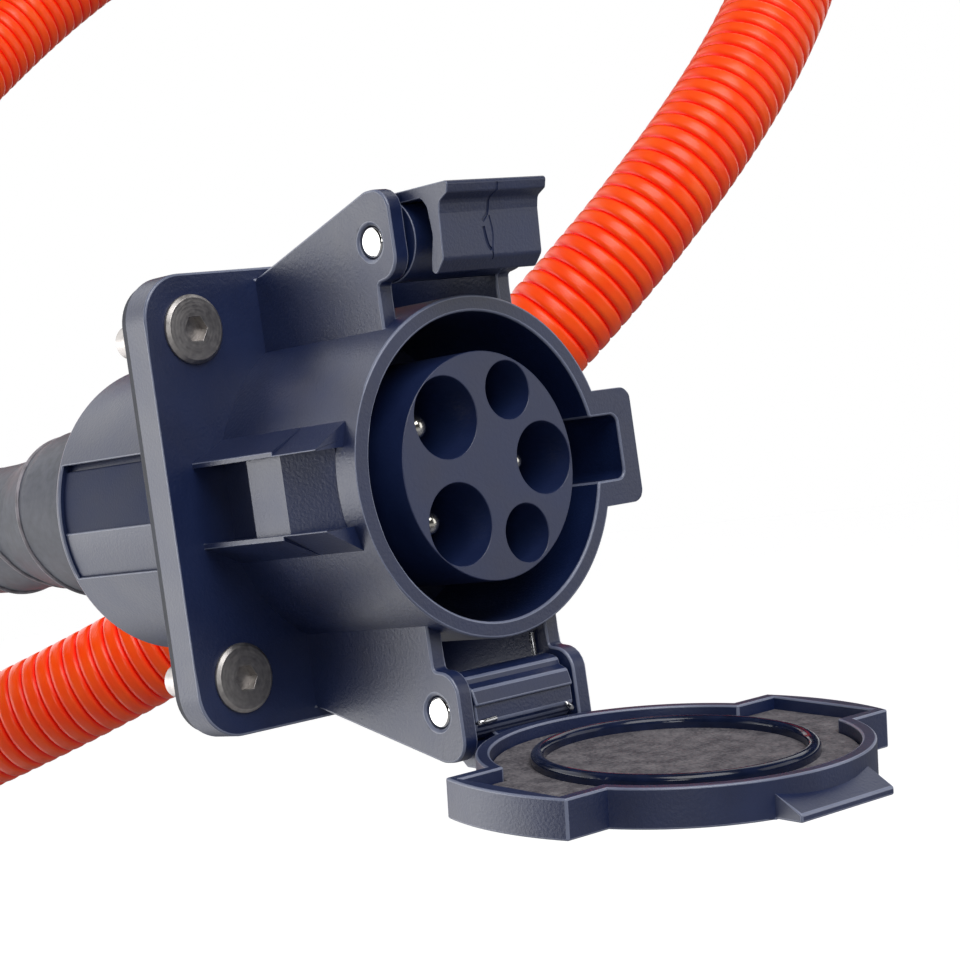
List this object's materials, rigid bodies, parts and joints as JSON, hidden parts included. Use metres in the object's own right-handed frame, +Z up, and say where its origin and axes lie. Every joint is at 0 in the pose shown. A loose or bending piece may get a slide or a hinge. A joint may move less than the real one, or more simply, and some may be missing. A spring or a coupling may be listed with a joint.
{
  "type": "charge port inlet",
  "caption": "Panel charge inlet with square flange, round barrel, recessed contacts, sprung hinged cap, cap latch and a cable in corrugated orange conduit.",
  "frame": {"origin": "centre of the sealing face that lies on the panel, on the axis of the barrel", "axes": "-Y out of the mouth, +Y behind the panel, +Z up towards the latch, +X right seen from the mouth, where the key tab is"},
  "size_m": [0.2874, 0.4072, 0.2651],
  "materials": {
    "black_plastic": "fine moulded texture",
    "core_plastic": "smooth moulding",
    "black_rubber": "matt",
    "cap_rubber": "textured, with a smooth rib",
    "screw_steel": "satin",
    "bright_steel": "bright",
    "contact_metal": "silver plate",
    "spring_steel": "drawn wire",
    "orange_conduit": "corrugated, slightly glossy",
    "orange_wire": "smooth",
    "blue_wire": "smooth",
    "copper": "bare strands"
  },
  "bodies": {
    "inlet": {"housing": "black_plastic", "flange_pad": "black_rubber", "flange_screws": "screw_steel", "contact_core": "core_plastic", "contact_carrier": "core_plastic", "contact_retainer": "core_plastic", "retainer_screws": "screw_steel", "line_pin": "contact_metal", "neutral_pin": "contact_metal", "earth_pin": "contact_metal", "pilot_pin": "contact_metal", "proximity_pin": "contact_metal", "rear_shell": "black_plastic", "inner_wires": "orange_wire", "cable_boot": "black_rubber", "conduit": "orange_conduit", "end_sleeve": "black_rubber", "power_wires": "orange_wire", "signal_wires": "blue_wire", "wire_ends": "copper", "hinge_pin": "bright_steel", "latch_pin": "bright_steel"},
    "cap": {"cap_shell": "black_plastic", "cap_pad": "cap_rubber", "hinge_spring": "spring_steel"},
    "latch": {"latch_lever": "black_plastic", "latch_spring": "spring_steel"}
  },
  "joints": [
    {"name": "cap_hinge", "type": "hinge", "parent": "inlet", "child": "cap", "pos_m": [0, -0.0333, -0.0334], "axis": [1, 0, 0], "range_deg": [-97, 0], "stiffness_Nm_per_rad": 0.004, "springref_deg": 57.3},
    {"name": "latch_hinge", "type": "hinge", "parent": "inlet", "child": "latch", "pos_m": [0, -0.0333, 0.0334], "axis": [1, 0, 0], "range_deg": [-25, 0], "stiffness_Nm_per_rad": 0.01, "springref_deg": 28.65}
  ]
}
